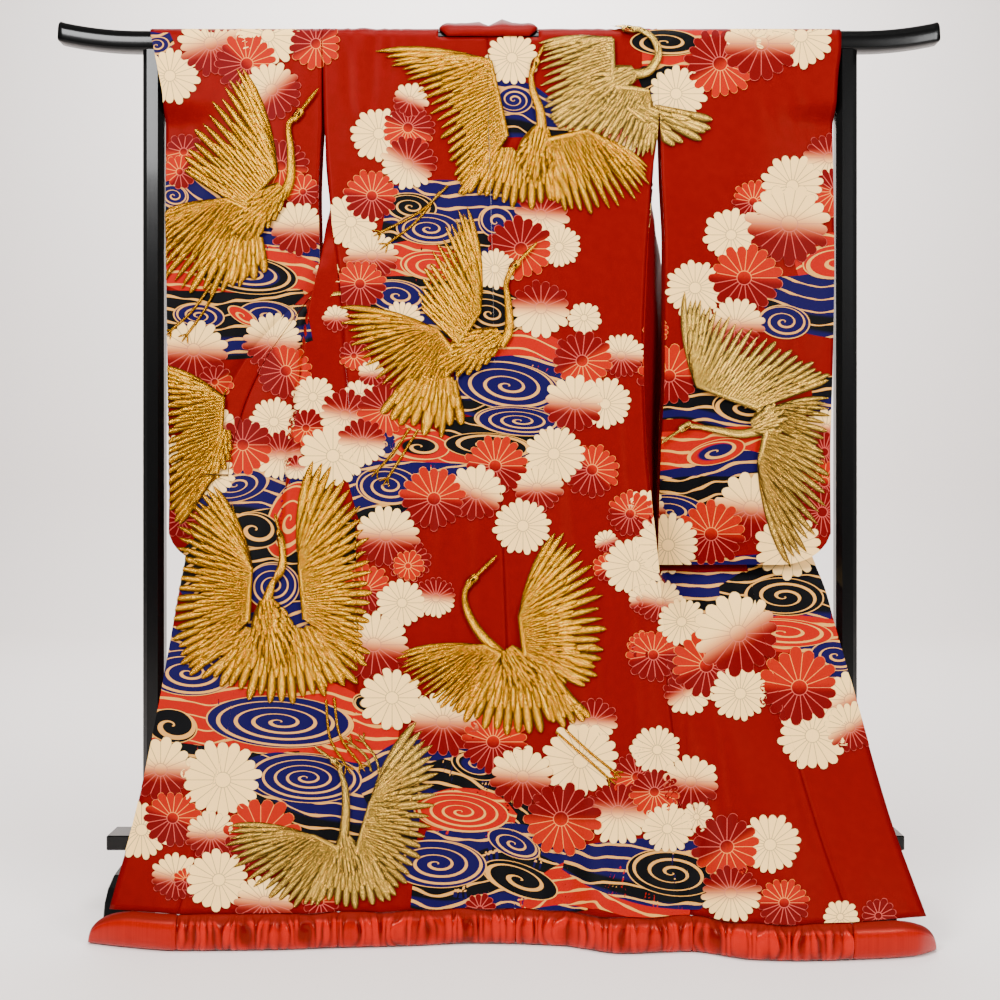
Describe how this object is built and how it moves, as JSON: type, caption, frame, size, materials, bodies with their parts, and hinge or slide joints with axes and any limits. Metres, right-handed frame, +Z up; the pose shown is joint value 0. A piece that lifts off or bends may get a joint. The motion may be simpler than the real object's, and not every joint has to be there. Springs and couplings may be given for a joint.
{
  "type": "uchikake wedding kimono on a kimono stand",
  "caption": "Long formal robe with a padded satin hem, spread open with its back shown, hung by the sleeves over the rail of a black lacquered stand and fanned out on the floor.",
  "frame": {"origin": "centre of the whole model's footprint, on the floor", "axes": "+Z up, X along the stand's rail, -Y towards the viewer, who sees the garment's back"},
  "size_m": [1.714, 0.6172, 1.7132],
  "materials": {
    "silk": "figured crimson silk with woven and couched motifs",
    "satin": "shirred vermilion satin over padding",
    "lacquer": "gloss black lacquer on wood"
  },
  "bodies": {
    "root": {"back_left": "silk", "back_right": "silk", "front_left": "silk", "front_right": "silk", "okumi_left": "silk", "okumi_right": "silk", "collar": "silk", "sleeve_left": "silk", "sleeve_right": "silk", "hem_roll_okumi_left": "satin", "hem_roll_front_left": "satin", "hem_roll_back_left": "satin", "hem_roll_back_right": "satin", "hem_roll_front_right": "satin", "hem_roll_okumi_right": "satin", "stand_rail": "lacquer", "stand_post_left": "lacquer", "stand_post_right": "lacquer", "stand_crossbar": "lacquer", "stand_foot_left": "lacquer", "stand_foot_right": "lacquer"}
  },
  "joints": []
}
